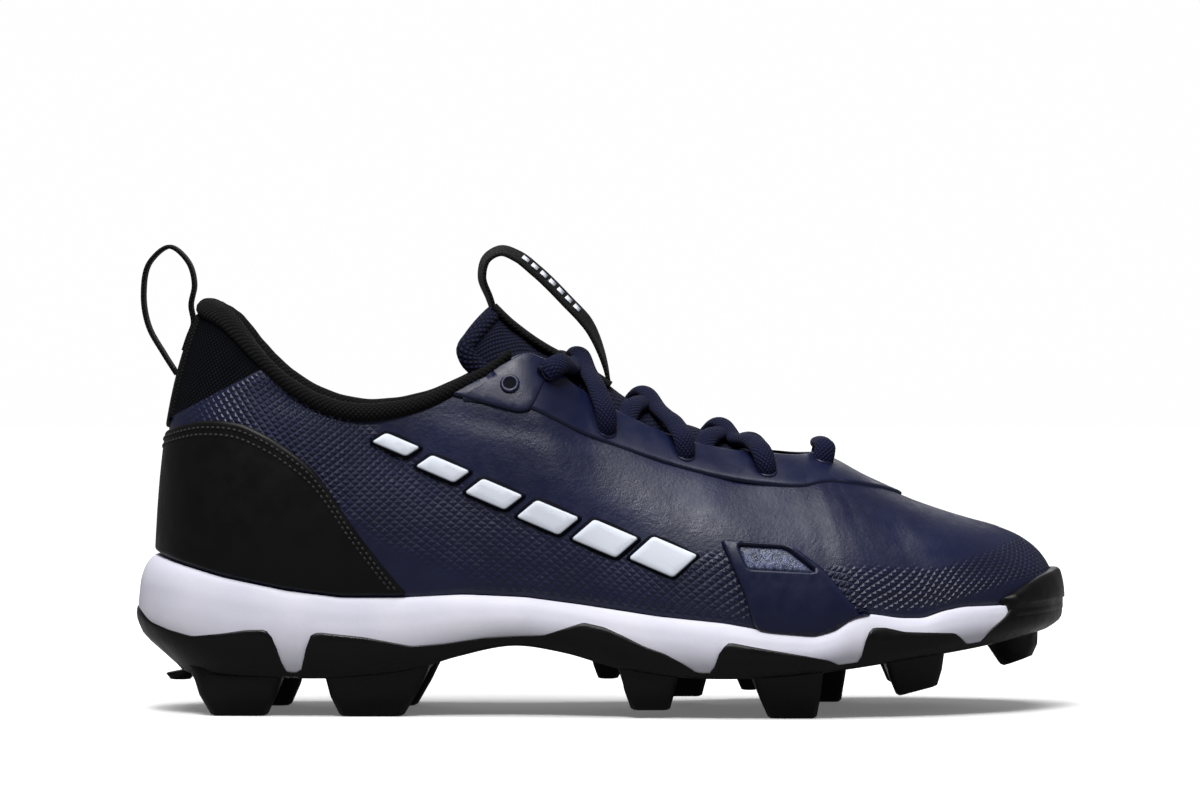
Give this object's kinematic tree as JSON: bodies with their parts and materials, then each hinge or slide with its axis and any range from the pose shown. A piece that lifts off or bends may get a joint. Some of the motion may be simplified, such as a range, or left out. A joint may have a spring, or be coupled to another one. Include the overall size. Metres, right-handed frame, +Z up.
{
  "type": "baseball cleat",
  "caption": "Low-cut moulded baseball cleat for the right foot: hollow synthetic upper, padded collar and tongue, foam midsole, studded rubber outsole, laces and pull loops.",
  "frame": {"origin": "under the middle of the shoe's box, on the floor that the studs stand on", "axes": "+X from heel to toe, -Y towards the outer (lateral) side, +Z up"},
  "size_m": [0.2852, 0.1042, 0.1426],
  "materials": {
    "rubber": "satin moulded rubber",
    "foam": "matte moulded foam with a fine skin",
    "navy": "semi-gloss synthetic with a fine grain",
    "black": "smooth satin synthetic",
    "knit": "padded knit",
    "mesh": "spacer mesh",
    "webbing": "woven tape",
    "lace": "braided cord",
    "lining": "brushed lining"
  },
  "bodies": {
    "root": {"outsole": "rubber", "midsole": "foam", "insole": "lining", "upper": "navy", "heel_counter": "black", "eyestay": "navy", "side_panel": "navy", "toe_bumper": "rubber", "collar": "knit", "tongue": "mesh", "heel_loop": "webbing", "tongue_loop": "webbing", "lace_bar": "lace", "lace_crossing_1": "lace", "lace_crossing_2": "lace", "lace_crossing_3": "lace"}
  },
  "joints": []
}
